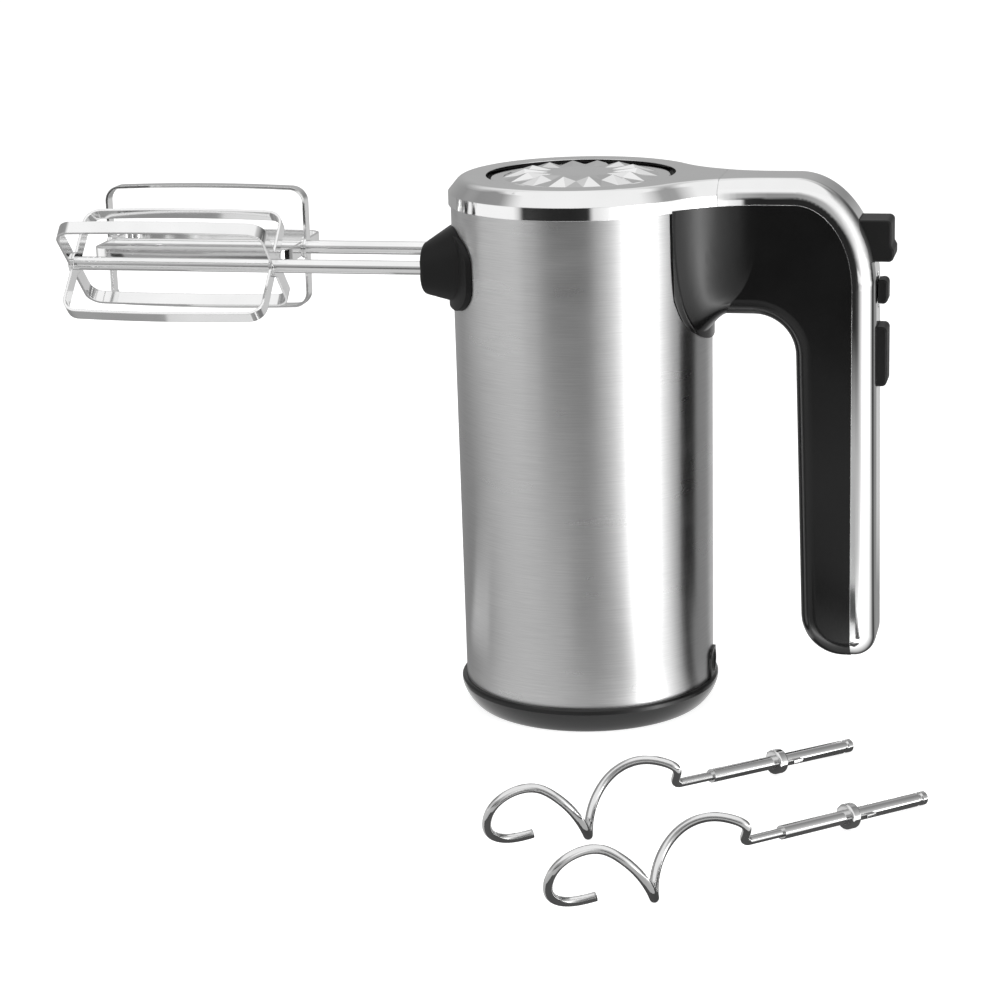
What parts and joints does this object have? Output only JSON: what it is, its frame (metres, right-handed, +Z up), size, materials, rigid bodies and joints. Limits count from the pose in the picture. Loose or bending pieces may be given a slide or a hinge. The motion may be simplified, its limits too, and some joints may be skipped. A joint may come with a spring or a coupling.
{
  "type": "hand mixer",
  "caption": "Slim upright hand mixer: brushed steel drum with a looped black handle, side-mounted wire beaters, press controls on the grip and loose spiral dough hooks.",
  "frame": {"origin": "centre of the heel face, on the table", "axes": "+Z up along the drum, +X towards the handle, -X along the beaters, -Y towards the dough hooks"},
  "size_m": [0.3219, 0.2632, 0.1984],
  "materials": {
    "brushed_drum": "horizontally brushed",
    "polished_cap": "polished",
    "gloss_black": "gloss",
    "satin_black": "satin",
    "bush_rubber": "matt",
    "inner_plastic": "moulded",
    "circuit_board": "lacquered",
    "polished_steel": "polished stainless steel",
    "plain_steel": "drawn",
    "iron_stack": "laminated",
    "copper_winding": "lacquered copper",
    "bearing_bronze": "sintered",
    "wheel_nylon": "moulded nylon",
    "carbon": "pressed carbon"
  },
  "bodies": {
    "housing": {"steel_sleeve": "brushed_drum", "liner": "inner_plastic", "base_cap": "gloss_black", "cord_bush": "bush_rubber", "nose_cap": "polished_cap", "nose_disc": "polished_cap", "handle_shell": "gloss_black", "handle_trim": "polished_cap", "eject_spring": "plain_steel", "speed_switch": "inner_plastic", "switch_board": "circuit_board", "turbo_switch": "inner_plastic", "turbo_spring": "plain_steel", "beater_boss": "satin_black", "stator_stack": "iron_stack", "field_coils": "copper_winding", "lower_bracket": "inner_plastic", "lower_bearing": "bearing_bronze", "gear_case": "inner_plastic", "gear_cover": "inner_plastic", "upper_bearing": "bearing_bronze", "brush_holders": "inner_plastic", "carbon_brushes": "carbon", "motor_bolts": "plain_steel", "base_screws": "plain_steel"},
    "rotor": {"motor_shaft": "plain_steel", "worm": "plain_steel", "armature_stack": "iron_stack", "armature_windings": "copper_winding", "commutator": "copper_winding", "cooling_fan": "inner_plastic"},
    "front_wheel": {"wheel_front": "wheel_nylon"},
    "rear_wheel": {"wheel_rear": "wheel_nylon"},
    "front_beater": {"beater_front_shaft": "polished_steel", "beater_front_collar": "polished_steel", "beater_front_loop_outer": "polished_steel", "beater_front_loop_inner": "polished_steel"},
    "rear_beater": {"beater_rear_shaft": "polished_steel", "beater_rear_collar": "polished_steel", "beater_rear_loop_outer": "polished_steel", "beater_rear_loop_inner": "polished_steel"},
    "ejector": {"eject_button": "satin_black", "ejector_rod": "plain_steel", "ejector_fork": "inner_plastic"},
    "speed_selector": {"speed_knob": "satin_black"},
    "turbo_key": {"turbo_button": "satin_black"},
    "front_hook": {"hook_front_sleeve": "polished_steel", "hook_front_collar": "polished_steel", "hook_front_wire": "polished_steel"},
    "rear_hook": {"hook_rear_sleeve": "polished_steel", "hook_rear_collar": "polished_steel", "hook_rear_wire": "polished_steel"}
  },
  "joints": [
    {"name": "rotor_spin", "type": "hinge", "parent": "housing", "child": "rotor", "pos_m": [0, 0, 0.1], "axis": [0, 0, 1], "continuous": true},
    {"name": "front_wheel_spin", "type": "hinge", "parent": "housing", "child": "front_wheel", "pos_m": [0, -0.02, 0.1651], "axis": [1, 0, 0], "continuous": true},
    {"name": "rear_wheel_spin", "type": "hinge", "parent": "housing", "child": "rear_wheel", "pos_m": [0, 0.02, 0.1651], "axis": [1, 0, 0], "continuous": true},
    {"name": "eject_press", "type": "slide", "parent": "housing", "child": "ejector", "axis": [-1, 0, 0], "range_m": [0, 0.007], "stiffness_N_per_m": 250, "springref_m": -0.003, "deforming": ["eject_spring"]},
    {"name": "front_beater_eject", "type": "slide", "parent": "front_wheel", "child": "front_beater", "axis": [-1, 0, 0], "range_m": [0, 0.007]},
    {"name": "rear_beater_eject", "type": "slide", "parent": "rear_wheel", "child": "rear_beater", "axis": [-1, 0, 0], "range_m": [0, 0.007]},
    {"name": "speed_slide", "type": "slide", "parent": "housing", "child": "speed_selector", "axis": [0, 0, 1], "range_m": [-0.0035, 0.0035]},
    {"name": "turbo_press", "type": "slide", "parent": "housing", "child": "turbo_key", "axis": [-1, 0, 0], "range_m": [0, 0.0025], "stiffness_N_per_m": 400, "springref_m": -0.002, "deforming": ["turbo_spring"]},
    {"name": "front_hook_lift", "type": "slide", "parent": "housing", "child": "front_hook", "axis": [0, 0, 1], "range_m": [0, 0.1]},
    {"name": "rear_hook_lift", "type": "slide", "parent": "housing", "child": "rear_hook", "axis": [0, 0, 1], "range_m": [0, 0.1]}
  ],
  "couplings": [
    {"joint": "front_wheel_spin", "follows": "rotor_spin", "ratio": -0.066667},
    {"joint": "rear_wheel_spin", "follows": "rotor_spin", "ratio": 0.066667},
    {"joint": "front_beater_eject", "follows": "eject_press", "ratio": 1},
    {"joint": "rear_beater_eject", "follows": "eject_press", "ratio": 1}
  ]
}
